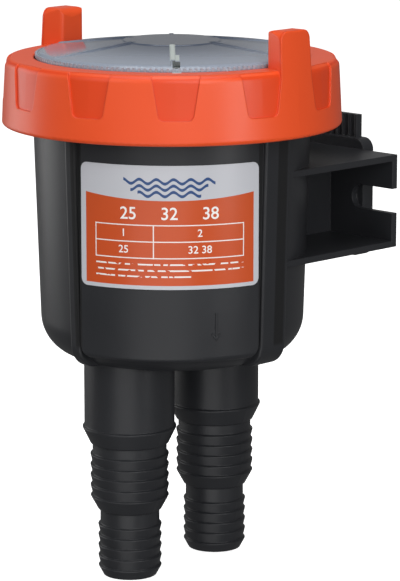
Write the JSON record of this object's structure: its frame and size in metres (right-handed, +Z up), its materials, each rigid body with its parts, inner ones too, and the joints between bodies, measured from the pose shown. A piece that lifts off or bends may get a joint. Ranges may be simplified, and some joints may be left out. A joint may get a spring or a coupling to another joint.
{
  "type": "sea water strainer",
  "caption": "Bulkhead sea water strainer: black bowl with two stepped hose tails below, orange screwed collar with grip lugs over a clear lid, slotted basket inside.",
  "frame": {"origin": "centre of the mounting pad's back face, which lies on the bulkhead", "axes": "+Z up along the bowl's axis direction, +Y into the bulkhead, +X to the right seen from the front"},
  "size_m": [0.1432, 0.1586, 0.2362],
  "materials": {
    "housing_plastic": "satin charcoal moulding",
    "collar_plastic": "satin orange moulding",
    "lid_clear": "smoky clear moulding, polished",
    "seal_rubber": "soft black rubber",
    "basket_plastic": "natural white moulding",
    "label_print": "glossy printed film"
  },
  "bodies": {
    "housing": {"housing": "housing_plastic", "basket": "basket_plastic", "basket_ring": "seal_rubber", "lid_seal": "seal_rubber", "label": "label_print"},
    "lid": {"lid": "lid_clear"},
    "collar": {"collar": "collar_plastic"}
  },
  "joints": [
    {"name": "lid_lift", "type": "slide", "parent": "housing", "child": "lid", "axis": [0, 0, 1], "range_m": [0, 0.015]},
    {"name": "collar_turn", "type": "hinge", "parent": "lid", "child": "collar", "pos_m": [0, -0.087, 0.0519], "axis": [0, 0, 1], "range_deg": [0, 900]}
  ],
  "couplings": [
    {"joint": "lid_lift", "follows": "collar_turn", "m_per_rad": 0.00095493}
  ]
}
